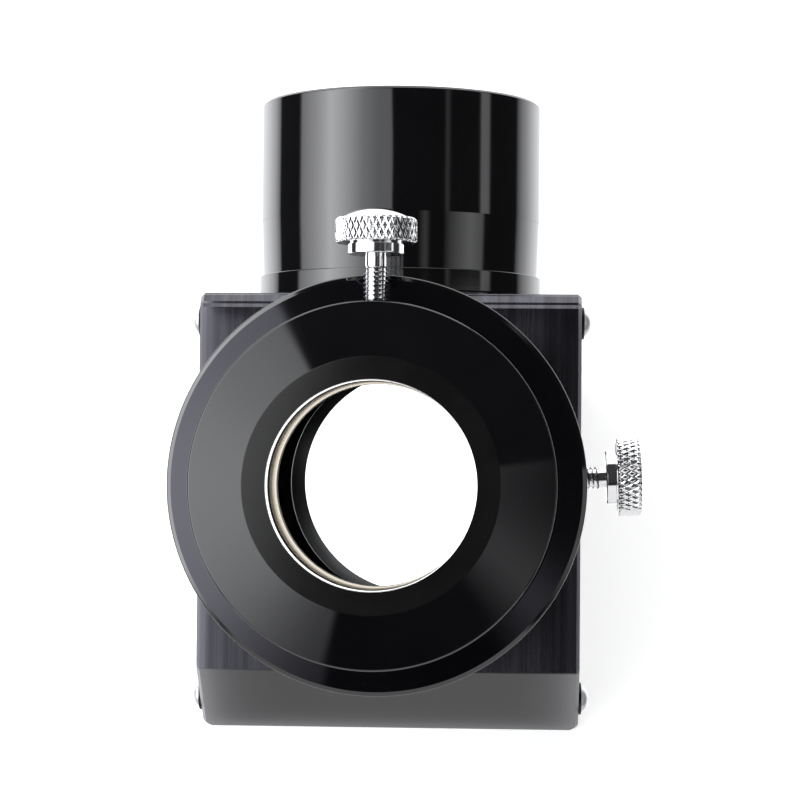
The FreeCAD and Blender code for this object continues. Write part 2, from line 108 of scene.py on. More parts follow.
# Eyepiece holder.
HOLDER_RADIUS = 32.75 * MM
HOLDER_TOP = 68.0 * MM
HOLDER_SEAT_RADIUS = 28.5 * MM
HOLDER_RIM_WIDTH = 0.7 * MM
HOLDER_RIM_DROP = 0.34 * MM
HOLDER_FACE_DROP = 0.86 * MM
HOLDER_EDGE_FILLET = 0.35 * MM
HOLDER_FACE_FILLET = 0.1 * MM
HOLDER_MOUTH_FILLET = 0.3 * MM
HOLDER_FOOT_FILLET = 0.3 * MM
HOLDER_BORE = 25.45 * MM
HOLDER_STOP = 40.0 * MM
HOLDER_GROOVE = 27.2 * MM
HOLDER_GROOVE_HALF = 3.0 * MM
HOLDER_RING_HALF = 2.8 * MM
HOLDER_RING_OUTER = 26.6 * MM
HOLDER_RING_INNER = 25.42 * MM
HOLDER_SCREW_HEIGHT = 50.0 * MM

# Adapter.
ADAPTER_BARREL = 25.37 * MM
ADAPTER_END = 42.0 * MM
ADAPTER_SEAT = 68.05 * MM
ADAPTER_HEAD = 28.0 * MM
ADAPTER_HEAD_TOP = 78.0 * MM
ADAPTER_HEAD_CHAMFER = 0.21 * MM
ADAPTER_HEAD_FILLET = 0.25 * MM
ADAPTER_SEAT_FILLET = 0.2 * MM
ADAPTER_END_FILLET = 0.6 * MM
ADAPTER_CONE_RADIUS = 19.5 * MM
ADAPTER_CONE_TOP = 79.9 * MM
ADAPTER_CONE_FILLET = 0.5 * MM
ADAPTER_MOUTH = 79.9 * MM
ADAPTER_LIP = 0.1 * MM
ADAPTER_LAND = 3.3 * MM
EYEPIECE_BORE = 15.9 * MM
ADAPTER_GROOVE = 17.8 * MM
ADAPTER_GROOVE_LOW = 62.7 * MM
ADAPTER_GROOVE_TOP = 73.6 * MM
ADAPTER_LAND_LOW = 60.7 * MM
ADAPTER_RELIEF = 20.0 * MM
ADAPTER_RELIEF_TOP = 58.0 * MM
ADAPTER_RING_OUTER = 17.2 * MM
ADAPTER_RING_LOW = 62.9 * MM
ADAPTER_RING_TOP = 73.4 * MM
ADAPTER_RING_LEAD = 3.7 * MM
ADAPTER_RING_FLARE = 0.8 * MM
ADAPTER_SCREW_HEIGHT = 71.8 * MM
RING_GAP = 3.0 * MM
RING_FILLET = 0.15 * MM

# Thumbscrews.
STUD_RADIUS = 1.95 * MM
STUD_PITCH = 0.7 * MM
STUD_THREAD_DEPTH = 0.42 * MM
STUD_TIP_CHAMFER = 0.4 * MM
STUD_END_CHAMFER = 0.1 * MM
STUD_RUNOUT = 0.05 * MM
STUD_STEPS = 12
STUD_END_SHARE = 0.3
THREAD_ROOT = 1.25
NECK_RADIUS = 1.6 * MM
NECK_LENGTHS = {"holder_screw": 1.1 * MM, "adapter_screw": 1.8 * MM}
STUD_IN_KNOB = 2.95 * MM
COLLAR_RADIUS = 4.3 * MM
COLLAR_HEIGHT = 1.8 * MM
COLLAR_FILLET = 0.25 * MM
COLLAR_STEP = 0.2 * MM
KNOB_RADIUS = 6.3 * MM
KNOB_HEIGHT = 3.8 * MM
KNOB_BORE_RADIUS = 1.65 * MM
KNOB_BORE_DEPTH = 3.0 * MM
KNOB_LIP = 0.32 * MM
KNOB_UNDERSIDE_EDGES = (0.6 * MM, 0.25 * MM)
CROWN_FLAT = 0.3 * MM
CROWN_STEP = 0.4 * MM
KNURL_COUNT = 37
KNURL_PERIOD = 2.2 * MM
KNURL_DEPTH = 0.24 * MM
KNURL_FLAT = 1.8
KNURL_STEPS = 22
KNURL_SEGMENTS = 16
KNOB_RECESS = 0.4 * MM

# Fasteners.
SIDE_HEAD_RADIUS = 2.25 * MM
SIDE_HEAD_HEIGHT = 1.3 * MM
SIDE_HEAD_UNDERSIDE = 0.98
SIDE_RIM_LIFT = 0.03 * MM
SIDE_SCREW_RADIUS = 1.25 * MM
SIDE_SCREW_LENGTH = 6.0 * MM
SIDE_SCREW_POINT = 0.95
SIDE_SOCKET = 0.75 * MM
SIDE_SOCKET_EDGE = 1.25
SIDE_SOCKET_DEPTH = 0.7 * MM
SIDE_SOCKET_DRILL = 0.1 * MM
SPIN_START = 0.5
SPIN_STEP = 0.8
WASHER_RADIUS = 2.75 * MM
WASHER_THICKNESS = 0.5 * MM
WASHER_FILLET = 0.2 * MM
CELL_HEAD_RADIUS = 2.8 * MM
CELL_HEAD_RIM = 0.15 * MM
CELL_HEAD_DEPTH = 1.7 * MM
CELL_SCREW_RADIUS = 1.5 * MM
CELL_SCREW_CHAMFER = 0.3 * MM
CELL_SOCKET = 1.0 * MM
CELL_SOCKET_EDGE = 1.3
CELL_SOCKET_DEPTH = 1.2 * MM

# Camera, in the frame of the eyepiece axis: right, up, and back from the crossing.
CAMERA_PLACE = Vector((23.44, 2.40, 443.0)) * MM
CAMERA_YAW = math.radians(3.014)
CAMERA_PITCH = math.radians(1.650)
CAMERA_ROLL = math.radians(0.499)
CAMERA_LENS = 109.2

# Studio: the brightness of its walls and panels as (degrees, level) stops round the nosepiece's
# axis, where 0 degrees is in front of the eyepiece and 90 is on the right.
DARK = 0.04
BRIGHTEST = 5.6
LEFT_WALL = [(-180, 1.6), (-160, 1.6), (-145, 2.25), (-135, 2.5), (-124, 2.2), (-117, 1.3), (-114, DARK)]
LEFT_SOFTBOX = [(-89, DARK), (-86, 1.8), (-72, 3.2), (-64, 4.3), (-57, 5.6), (-50, 4.9), (-43, 4.0)]
LEFT_SOFTBOX += [(-29, 2.1), (-16, 1.35), (12, 1.2), (13, DARK)]
RIGHT_STRIP = [(38, DARK), (41, 0.4), (44, DARK), (70, DARK), (72, 1.2), (79, 1.1), (81, DARK)]
RIGHT_PANEL = [(17, DARK), (23, 0.5), (27, DARK), (38, DARK), (44, 0.45), (62, 1.3), (73, 0.85), (76, DARK)]
RIGHT_WALL = [(112, DARK), (115, 0.6), (121, 1.3), (136, 2.0), (146, 2.1), (160, 1.7), (180, 1.6)]
UPPER_PANELS = LEFT_WALL + LEFT_SOFTBOX + RIGHT_STRIP + RIGHT_WALL
LOWER_PANELS = LEFT_WALL + LEFT_SOFTBOX + RIGHT_PANEL + RIGHT_WALL[:-1]
PANEL_STEP = 0.07
PANEL_BLUR = 0.01
PANEL_TINT = (0.97, 0.98, 1.0)
FRONT_EDGE_HIGH = 3.85
FRONT_LEAN_HIGH = 52.0
FRONT_EDGE_LOW = -4.8
FRONT_LEAN_LOW = -14.0
FRONT_BLUR = 2.0
FRONT_END = 16.0
FRONT_END_BLUR = 1
FLOOR_FADE_START = -0.27
FLOOR_FADE_END = -0.61
CEILING_EDGE = 0.88
FOOT_EDGE = -0.58
EDGE_BLUR = 0.04
CEILING = 1.8
FOOT = 0.95
STAGE_SIZE = 3.0
FLOOR_GLOW = 0.6
FLOOR_COLOUR = (0.92, 0.92, 0.92, 1.0)
WHITE = (1.0, 1.0, 1.0, 1.0)
BLACK = (0.0, 0.0, 0.0, 1.0)

# Meshes.  SUPPORT is the distance from an arc to the point that flattens the face beside it, and
# END_SHARE is how small the faces are that close a piece on its axis.
ROUND_STEPS = 5
DOME_STEPS = 10
SUPPORT = 0.02 * MM
NEAR = MM / 100
END_SHARE = 0.2
BAFFLE_PITCH = 0.6 * MM
BAFFLE_DEPTH = 0.25 * MM
NOSE_BAFFLE_DEPTH = 0.17 * MM
LATHE_SEGMENTS = 256
RING_SEGMENTS = 192
SMALL_SEGMENTS = 72
SHARP_ANGLE = math.radians(28)
LOCAL = "local_place"

mounts = {m["name"]: m for m in frame["record"]["mounts"]}
joints = {j["name"]: j for j in frame["joints"]}
crossing = Vector((0, 0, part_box("mirror")[1].z))
RIGHT = Vector((1, 0, 0))
DOWN = Vector((0, 0, -1))
EYEPIECE_AXIS = Vector(mounts["eyepiece_bore"]["axis"])
NOSE_AXIS = Vector(mounts["nosepiece_barrel"]["axis"])


def axis_frame(origin, direction, right):
    """The matrix whose Z runs along a direction from an origin, with X towards right."""
    z = direction.normalized()
    x = (right - z * right.dot(z)).normalized()
    y = z.cross(x)
    turn = Matrix((x, y, z)).transposed().to_4x4()
    return Matrix.Translation(origin) @ turn


EYEPIECE = axis_frame(crossing, EYEPIECE_AXIS, RIGHT)
NOSE = axis_frame(crossing, NOSE_AXIS, RIGHT)


# ---- outlines ---------------------------------------------------------------------------------

def rounded(corners, closed=True):
    """A (radius, height) outline with arcs: each corner is (r, h) or (r, h, fillet).  A point just
    before and after each arc keeps the smooth shading of the arc off the flat faces beside it."""
    points = [Vector((c[0], c[1])) for c in corners]
    fillets = [c[2] if len(c) > 2 else 0.0 for c in corners]
    path = []
    count = len(points)
    for i, here in enumerate(points):
        at_end = not closed and i in (0, count - 1)
        if fillets[i] == 0.0 or at_end:
            path.append(here)
            continue
        before = (points[i - 1] - here).normalized()
        after = (points[(i + 1) % count] - here).normalized()
        half = before.angle(after) / 2
        reach = fillets[i] / math.tan(half)
        middle = here + (before + after).normalized() * (fillets[i] / math.sin(half))
        start = here + before * reach - middle
        end = here + after * reach - middle
        sweep = start.angle_signed(end)
        path.append(middle + start + before * SUPPORT)
        for step in range(ROUND_STEPS + 1):
            turn = Matrix.Rotation(-sweep * step / ROUND_STEPS, 2)
            path.append(middle + turn @ start)
        path.append(middle + end + after * SUPPORT)
    return [(p.x, p.y) for p in path]


def spread(low, high, step):
    """Evenly spaced values from low to high, no further apart than a step."""
    count = max(1, math.ceil(abs(high - low) / step))
    return [low + (high - low) * i / count for i in range(count + 1)]


# ---- meshes -----------------------------------------------------------------------------------

def mesh_object(name, vertices, faces, matrix=Matrix.Identity(4)):
    """A mesh drawn in a local frame and put in its place.  Its points keep their local
    coordinates in an attribute, so that turning marks can follow the piece's own axis."""
    mesh = bpy.data.meshes.new(name)
    mesh.from_pydata(vertices, [], faces)
    mesh.validate()
    local = mesh.attributes.new(LOCAL, "FLOAT_VECTOR", "POINT")
    local.data.foreach_set("vector", [number for vertex in vertices for number in vertex])
    mesh.transform(matrix)
    mesh.update()
    piece = bpy.data.objects.new(name, mesh)
    bpy.context.scene.collection.objects.link(piece)
    smooth_by_angle(mesh)
    return piece


def finish_faces(piece, material, test):
    """Gives another material to the faces whose (radius, height) passes a test."""
    piece.data.materials.append(material)
    slot = len(piece.data.materials) - 1
    local = piece.data.attributes[LOCAL].data
    for face in piece.data.polygons:
        corners = [local[i].vector for i in face.vertices]
        radius = min(math.hypot(c.x, c.y) for c in corners)
        height = sum(c.z for c in corners) / len(corners)
        if test(radius, height):
            face.material_index = slot


def smooth_by_angle(mesh):
    """Smooth shading, with the edges between faces that meet at a sharper angle kept crisp."""
    mesh.shade_smooth()
    mesh.set_sharp_from_angle(angle=SHARP_ANGLE)


def turned(name, outline, matrix, segments, shape=None, closed=True, gap=0.0):
    """A turned piece.  shape(radius, height, angle) may change a point's radius, as for a thread
    or a knurl.  A closed outline makes a ring; an open one starts and ends on the axis.  With a
    gap the ring is split, and the gap is that many radians wide about the angle pi."""
    split = gap > 0
    columns = segments + 1 if split else segments
    start = -math.pi + gap / 2 if split else 0.0
    sweep = 2 * math.pi - gap
    rows = len(outline)
    vertices = []
    for radius, height in outline:
        for i in range(columns):
            angle = start + sweep * i / segments
            r = shape(radius, height, angle) if shape else radius
            vertices.append((r * math.cos(angle), r * math.sin(angle), height))
    faces = []
    for row in range(rows if closed else rows - 1):
        above = (row + 1) % rows
        for i in range(segments):
            j = (i + 1) % columns
            near, far = row * columns, above * columns
            faces.append((near + i, near + j, far + j, far + i))
    if split:
        faces.append(tuple(row * columns for row in range(rows)))
        faces.append(tuple(row * columns + segments for row in reversed(range(rows))))
    if not closed:
        faces.append(tuple(reversed(range(columns))))
        faces.append(tuple((rows - 1) * columns + i for i in range(columns)))
    return mesh_object(name, vertices, faces, matrix)


def join_pieces(name, pieces):
    """Several meshes as one piece, in the model's own frame."""
    vertices, faces = [], []
    for piece in pieces:
        base = len(vertices)
        vertices += [tuple(v.co) for v in piece.data.vertices]
        faces += [tuple(base + i for i in polygon.vertices) for polygon in piece.data.polygons]
        bpy.data.objects.remove(piece)
    return mesh_object(name, vertices, faces)


def stands_for(piece, node, material):
    """The piece replaces a CAD node, on that node's body, with its finish."""
    body = frame["nodes"][node]["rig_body"]
    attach(piece, body)
    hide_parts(node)
    piece.data.materials.append(material)
    return piece


# ---- threads and knurls -----------------------------------------------------------------------

def triangle(x):
    """A triangle wave of period 1: 0 at whole numbers, 1 half way between."""
    return 1 - abs(2 * (x % 1.0) - 1)


def thread(low, high, pitch, depth, fade):
    """A helical groove between two heights, that runs out over a fade at each end."""
    def shape(radius, height, angle):
        if not low < height < high:
            return radius
        strength = min(1.0, (height - low) / fade, (high - height) / fade)
        wave = triangle(height / pitch - angle / (2 * math.pi))
        return radius - depth * strength * min(1.0, THREAD_ROOT * (1 - wave))
    return shape


def knurl(low, high, radius_from):
    """Two crossing sets of helical grooves that leave raised diamonds, with a chamfered lip at
    each end."""
    def shape(radius, height, angle):
        if not low <= height <= high or radius < radius_from:
            return radius
        turn = KNURL_COUNT * angle / (2 * math.pi)
        lift = (height - low) / KNURL_PERIOD
        ridge = min(triangle(turn + lift), triangle(turn - lift))
        edge = min(1.0, (height - low) / KNOB_LIP, (high - height) / KNOB_LIP)
        cut = KNURL_DEPTH * (1 - min(1.0, KNURL_FLAT * ridge))
        return radius - cut * edge - KNOB_LIP * (1 - edge)
    return shape


# ---- materials --------------------------------------------------------------------------------
# Noise scales are per metre and bump heights in metres.

class Finish:
    """A node material: a Principled shader with colour, roughness and bump built on it."""

    def __init__(self, name, **uniform):
        self.material = bpy.data.materials.new(name)
        self.material.use_nodes = True
        self.nodes = self.material.node_tree.nodes
        self.links = self.material.node_tree.links
        self.shader = self.nodes["Principled BSDF"]
        for socket, value in uniform.items():
            self.shader.inputs[socket.replace("_", " ")].default_value = value
        self.place = self.add("ShaderNodeTexCoord").outputs["Object"]

    def follow_axis(self):
        """Takes the pattern's place from the piece's own axis, for a turned piece."""
        self.place = self.add("ShaderNodeAttribute", attribute_name=LOCAL).outputs["Vector"]

    def add(self, kind, **settings):
        node = self.nodes.new(kind)
        for key, value in settings.items():
            setattr(node, key, value)
        return node

    def stretched(self, scale):
        """The pattern's place, scaled along X, Y and Z."""
        mapping = self.add("ShaderNodeMapping")
        mapping.inputs["Scale"].default_value = scale
        self.links.new(self.place, mapping.inputs["Vector"])
        return mapping.outputs["Vector"]

    def noise(self, scale, detail=4.0, vector=None, roughness=0.55):
        node = self.add("ShaderNodeTexNoise")
        node.inputs["Scale"].default_value = scale
        node.inputs["Detail"].default_value = detail
        node.inputs["Roughness"].default_value = roughness
        self.links.new(vector or self.place, node.inputs["Vector"])
        return node.outputs["Fac"]

    def ramp(self, value, stops):
        node = self.add("ShaderNodeValToRGB")
        elements = node.color_ramp.elements
        while len(elements) < len(stops):
            elements.new(0.5)
        for element, (position, colour) in zip(elements, stops):
            element.position = position
            element.color = (*colour, 1.0)
        self.links.new(value, node.inputs["Fac"])
        return node.outputs["Color"]

    def span(self, value, low, high, start=0.3, end=0.7):
        """Maps a noise to a range of numbers."""
        node = self.add("ShaderNodeMapRange")
        for name, number in (("From Min", start), ("From Max", end), ("To Min", low), ("To Max", high)):
            node.inputs[name].default_value = number
        self.links.new(value, node.inputs["Value"])
        return node.outputs["Result"]

    def colour(self, value, dark, light):
        self.links.new(self.ramp(value, [(0.3, dark), (0.7, light)]), self.shader.inputs["Base Color"])

    def roughness(self, value, low, high):
        self.links.new(self.span(value, low, high), self.shader.inputs["Roughness"])

    def gloss(self, value, low, high):
        self.links.new(self.span(value, low, high), self.shader.inputs["Specular IOR Level"])

    def rolled(self, axis, half_width, both_edges, power=ROLL_POWER):
        """How far a face drops towards its edges across an axis, from 0 to 1: towards both of
        them, or only the one that the axis points to."""
        place = self.add("ShaderNodeVectorMath", operation="SUBTRACT")
        place.inputs[1].default_value = crossing
        self.links.new(self.place, place.inputs[0])
        across = self.add("ShaderNodeVectorMath", operation="DOT_PRODUCT")
        across.inputs[1].default_value = axis / half_width
        self.links.new(place.outputs["Vector"], across.inputs[0])
        share = self.add("ShaderNodeMath", operation="ABSOLUTE" if both_edges else "MAXIMUM")
        share.inputs[1].default_value = 0.0
        self.links.new(across.outputs["Value"], share.inputs[0])
        drop = self.add("ShaderNodeMath", operation="POWER", use_clamp=True)
        drop.inputs[1].default_value = power
        self.links.new(share.outputs["Value"], drop.inputs[0])
        return drop.outputs["Value"]

    def paint_edge_highlight(self, drops, pale):
        """Paints a highlight: lightens the colour built so far towards the edges, by values from 0 to 1."""
        socket = self.shader.inputs["Base Color"]
        for drop in drops:
            node = self.add("ShaderNodeMix", data_type="RGBA")
            below, above = [entry for entry in node.inputs if entry.type == "RGBA"]
            above.default_value = (*pale, 1.0)
            self.links.new(drop, node.inputs["Factor"])
            self.links.new(socket.links[0].from_socket, below)
            self.links.new(next(entry for entry in node.outputs if entry.type == "RGBA"), socket)

    def bump(self, *layers):
        """Bump from (value, height in metres) layers, one on the other; a negative height sinks."""
        below = None
        for value, height in layers:
            node = self.add("ShaderNodeBump", invert=height < 0)
            node.inputs["Distance"].default_value = abs(height)
            self.links.new(value, node.inputs["Height"])
            if below:
                self.links.new(below, node.inputs["Normal"])
            below = node.outputs["Normal"]
        self.links.new(below, self.shader.inputs["Normal"])


def polished_anodised(name, tint):
    """Black anodised and polished: a clear, dark gloss with the faintest turning marks."""
    finish = Finish(name, Metallic=0.0, IOR=1.72, Specular_Tint=(*tint, 1.0))
    finish.follow_axis()
    marks = finish.noise(1.0, 3.0, finish.stretched((40.0, 40.0, 9000.0)))
    cloud = finish.noise(60.0, 3.0)
    finish.colour(cloud, (0.0014, 0.0014, 0.0020), (0.0028, 0.0028, 0.0036))
    finish.roughness(cloud, 0.045, 0.075)
    finish.bump((marks, 0.0000006))
    return finish.material


def soft_anodised():
    """Black anodised over a dull turned face, at the adapter's mouth."""
    finish = Finish("soft_black", Metallic=0.0, IOR=1.6)
    finish.follow_axis()
    marks = finish.noise(1.0, 3.0, finish.stretched((60.0, 60.0, 6000.0)))
    cloud = finish.noise(80.0, 3.0)
    finish.colour(cloud, (0.003, 0.003, 0.003), (0.006, 0.006, 0.006))
    finish.roughness(cloud, 0.07, 0.10)
    finish.bump((marks, 0.000002))
    return finish.material


def matt_anodised():
    """Black anodised inside: dull, with fine turning marks."""
    finish = Finish("matt_black", Metallic=0.0, IOR=1.5)
    finish.follow_axis()
    marks = finish.noise(1.0, 3.0, finish.stretched((60.0, 60.0, 6000.0)))
    cloud = finish.noise(80.0, 3.0)
    finish.colour(cloud, (0.006, 0.006, 0.006), (0.011, 0.011, 0.011))
    finish.roughness(cloud, 0.42, 0.55)
    finish.bump((marks, 0.000006))
    return finish.material


def brushed_anodised():
    """Black anodised over a brushed face: fine streaks square to the part's width, and edges that
    the brushing has rolled off a little."""
    finish = Finish("brushed_black", Metallic=0.0, IOR=1.7, Specular_Tint=(0.86, 0.85, 1.0, 1.0))
    streaks = finish.noise(1.0, 5.0, finish.stretched((2200.0, 22.0, 22.0)), 0.7)
    broad = finish.noise(1.0, 3.0, finish.stretched((520.0, 9.0, 9.0)), 0.6)
    finish.colour(broad, (0.002, 0.002, 0.003), (0.007, 0.007, 0.009))
    finish.roughness(streaks, 0.22, 0.32)
    finish.gloss(broad, 0.42, 0.85)
    rolls = [(finish.rolled(*edge), -ROLL_DEPTH) for edge in BLOCK_EDGES]
    finish.bump((streaks, 0.000012), (broad, 0.000012), *rolls)
    return finish.material


def satin_anodised():
    """Black anodised over a blasted face: an even, fine grain, softly worn outer edges in the bump, and a
    painted highlight where the colour pales towards those edges.
    """
    finish = Finish("satin_black", Metallic=0.0, IOR=1.67)
    grain = finish.noise(9000.0, 2.0)
    cloud = finish.noise(45.0, 4.0)
    finish.colour(cloud, (0.0075, 0.0075, 0.009), (0.013, 0.013, 0.015))
    finish.roughness(cloud, 0.34, 0.42)
    # Painted highlight: these masks pale the base colour towards the side edges and the bottom edge, where
    # light catches; they also sink those edges in the bump.
    drops = [finish.rolled(*edge, EDGE_WEAR_AND_HIGHLIGHT_POWER) for edge in CELL_EDGES]
    finish.paint_edge_highlight(drops, (0.16, 0.16, 0.17))
    finish.bump((grain, 0.000008), *[(drop, -WEAR_DEPTH) for drop in drops])
    return finish.material


def chrome():
    """Bright chrome plate with slight waviness."""
    finish = Finish("bright_chrome", Metallic=1.0)
    wave = finish.noise(350.0, 3.0)
    finish.colour(wave, (0.80, 0.80, 0.82), (0.90, 0.90, 0.91))
    finish.roughness(wave, 0.05, 0.12)
    finish.bump((wave, 0.000006))
    return finish.material


def bare_metal(name, dark, light, low, high):
    """Uncoated or blackened metal, from its two colours and its range of roughness."""
    finish = Finish(name, Metallic=1.0)
    wear = finish.noise(700.0, 4.0)
    finish.colour(wear, dark, light)
    finish.roughness(wear, low, high)
    finish.bump((wear, 0.000004))
    return finish.material


def brass():
    """Turned brass: pale gold with fine rings."""
    finish = Finish("brass_ring", Metallic=1.0)
    finish.follow_axis()
    rings = finish.noise(1.0, 3.0, finish.stretched((30.0, 30.0, 7000.0)))
    finish.colour(rings, (0.78, 0.62, 0.38), (0.92, 0.78, 0.55))
    finish.roughness(rings, 0.24, 0.34)
    finish.bump((rings, 0.000002))
    return finish.material


def rubber():
    """Matt black rubber with a fine grain."""
    finish = Finish("black_rubber", Metallic=0.0)
    grain = finish.noise(2500.0, 3.0)
    finish.colour(grain, (0.010, 0.010, 0.010), (0.022, 0.022, 0.022))
    finish.roughness(grain, 0.65, 0.85)
    finish.bump((grain, 0.00003))
    return finish.material


def mirror_coating():
    """A dielectric mirror: almost all the light comes back, a touch cool."""
    finish = Finish("mirror_coating", Metallic=1.0)
    haze = finish.noise(30.0, 3.0)
    finish.colour(haze, (0.955, 0.965, 0.975), (0.975, 0.98, 0.985))
    finish.roughness(haze, 0.0, 0.012)
    return finish.material


RIDGE_EDGE = FACE - RIDGE_CHAMFER
BLOCK_EDGES = [(RIGHT, FACE, True), (EYEPIECE_AXIS, RIDGE_EDGE, False), (NOSE_AXIS, RIDGE_EDGE, False)]
CELL_EDGES = [(RIGHT, FACE, True), (DOWN, crossing.z, False)]
POLISHED = polished_anodised("polished_black", (1.0, 1.0, 1.0))
BLUED = polished_anodised("polished_blue_black", (0.76, 0.75, 0.87))
BRUSHED = brushed_anodised()
SATIN = satin_anodised()
MATT = matt_anodised()
SOFT = soft_anodised()
CHROME = chrome()
BRIGHT_STEEL = bare_metal("bright_steel", (0.74, 0.74, 0.74), (0.88, 0.88, 0.88), 0.36, 0.50)
BARE = bare_metal("bare_aluminium", (0.84, 0.83, 0.80), (0.92, 0.91, 0.88), 0.14, 0.24)
BLACK_STEEL = bare_metal("black_steel", (0.015, 0.015, 0.016), (0.04, 0.04, 0.042), 0.3, 0.45)
BRASS = brass()
RUBBER = rubber()
MIRROR = mirror_coating()


# ---- housing and optics -----------------------------------------------------------------------

def finish_node(node, material):
    """A CAD node that keeps its shape gets its finish."""
    piece = frame["nodes"][node]
    piece.data.materials.clear()
    piece.data.materials.append(material)
    smooth_by_angle(piece.data)


def finish_housing():
    finish_node("body_block", BRUSHED)
    finish_node("mirror_cell", SATIN)
    finish_node("left_side_plate", SATIN)
    finish_node("right_side_plate", SATIN)
    finish_node("mirror", MIRROR)
    for node in ("mirror_pads", "mirror_spacers", "mirror_gasket"):
        finish_node(node, RUBBER)


def hexagon(angle):
    """How far out a hexagon's side lies at an angle, for a half width of 1."""
    sector = (angle + math.pi / 6) % (math.pi / 3) - math.pi / 6
    return 1 / math.cos(sector)


def socket_shape(floor, rim, half_width):
    """Points drawn at the socket's radius take the shape of a hexagon."""
    def shape(radius, height, angle):
        inside = floor - NEAR <= height <= rim and abs(radius - half_width) < NEAR
        return half_width * hexagon(angle) if inside else radius
    return shape


def dome(radius, height, base):
    """The points of a round button head from its rim up, as far as its socket."""
    ball = (radius**2 + height**2) / (2 * height)
    top = SIDE_SOCKET * SIDE_SOCKET_EDGE
    radii = spread(radius, top, (radius - top) / DOME_STEPS)
    return [(r, base + height - ball + math.sqrt(ball**2 - r**2)) for r in radii]


def button_head(matrix):
    """A side screw, with its shank below the washer and its round head above it."""
    base = WASHER_THICKNESS
    curve = dome(SIDE_HEAD_RADIUS, SIDE_HEAD_HEIGHT, base)
    rim = curve[-1][1]
    floor = base + SIDE_HEAD_HEIGHT - SIDE_SOCKET_DEPTH
    outline = [
        (SIDE_SCREW_RADIUS * END_SHARE, -SIDE_SCREW_LENGTH),
        (SIDE_SCREW_RADIUS, -SIDE_SCREW_LENGTH * SIDE_SCREW_POINT),
        (SIDE_SCREW_RADIUS, base),
        (SIDE_HEAD_RADIUS * SIDE_HEAD_UNDERSIDE, base),
    ]
    outline += [(r, h + SIDE_RIM_LIFT) if r == SIDE_HEAD_RADIUS else (r, h) for r, h in curve]
    outline += [
        (SIDE_SOCKET, rim),
        (SIDE_SOCKET, floor),
        (SIDE_SOCKET * END_SHARE, floor - SIDE_SOCKET_DRILL),
    ]
    shape = socket_shape(floor, rim, SIDE_SOCKET)
    return turned("head", outline, matrix, SMALL_SEGMENTS, shape, closed=False)


def washer(matrix):
    outline = rounded([
        (SIDE_SCREW_RADIUS, 0.0),
        (WASHER_RADIUS, 0.0),
        (WASHER_RADIUS, WASHER_THICKNESS, WASHER_FILLET),
        (SIDE_SCREW_RADIUS, WASHER_THICKNESS),
    ])
    return turned("washer", outline, matrix, SMALL_SEGMENTS)


def screw_centres(node):
    """Where a side's three fasteners sit, as (y, z), from the box round them: one under the ridge
    and one in each low corner."""
    low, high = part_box(node)
    reach = SIDE_HEAD_RADIUS if node.endswith("screws") else WASHER_RADIUS
    return [(0.0, high.z - reach), (low.y + reach, low.z + reach), (high.y - reach, low.z + reach)]


def add_side_fasteners():
    for side, direction in (("left", -RIGHT), ("right", RIGHT)):
        plate_low, plate_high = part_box(side + "_side_plate")
        face = plate_low.x if side == "left" else plate_high.x
        for suffix, make, material, slot in (
            ("_side_screws", button_head, BRIGHT_STEEL, "bright_steel"),
            ("_side_washers", washer, BLACK_STEEL, "black_steel"),
        ):
            node = side + suffix
            pieces = []
            for number, (y, z) in enumerate(screw_centres(node)):
                spin = Matrix.Rotation(SPIN_START + SPIN_STEP * number, 4, "Z")
                matrix = axis_frame(Vector((face, y, z)), direction, Vector((0, 0, 1))) @ spin
                pieces.append(make(matrix))
            stands_for(join_pieces(node + "_detail", pieces), node, material)


def add_cell_screws():
    """Countersunk heads with hexagon sockets, flush with the back."""
    low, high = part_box("cell_screws")
    outline = [
        (CELL_SCREW_RADIUS * END_SHARE, high.z),
        (CELL_SCREW_RADIUS, high.z - CELL_SCREW_CHAMFER),
        (CELL_SCREW_RADIUS, CELL_HEAD_DEPTH),
        (CELL_HEAD_RADIUS, CELL_HEAD_RIM),
        (CELL_HEAD_RADIUS, 0.0),
        (CELL_SOCKET * CELL_SOCKET_EDGE, 0.0),
        (CELL_SOCKET, 0.0),
        (CELL_SOCKET, CELL_SOCKET_DEPTH),
        (CELL_SOCKET * END_SHARE, CELL_SOCKET_DEPTH),
    ]
    shape = socket_shape(0.0, CELL_SOCKET_DEPTH, CELL_SOCKET)
    pieces = []
    for x in (low.x + CELL_HEAD_RADIUS, high.x - CELL_HEAD_RADIUS):
        for y in (low.y + CELL_HEAD_RADIUS, high.y - CELL_HEAD_RADIUS):
            matrix = Matrix.Translation(Vector((x, y, 0)))
            pieces.append(turned("screw", outline, matrix, SMALL_SEGMENTS, shape, closed=False))
    stands_for(join_pieces("cell_screws_detail", pieces), "cell_screws", BRIGHT_STEEL)


# ---- nosepiece --------------------------------------------------------------------------------

def baffles(radius, start, end, depth=BAFFLE_DEPTH):
    """Fine grooves down a bore, which keep its wall from shining.  The last point is left out."""
    heights = spread(start, end, BAFFLE_PITCH / 2)[:-1]
    return [(radius + depth * (i % 2), h) for i, h in enumerate(heights)]


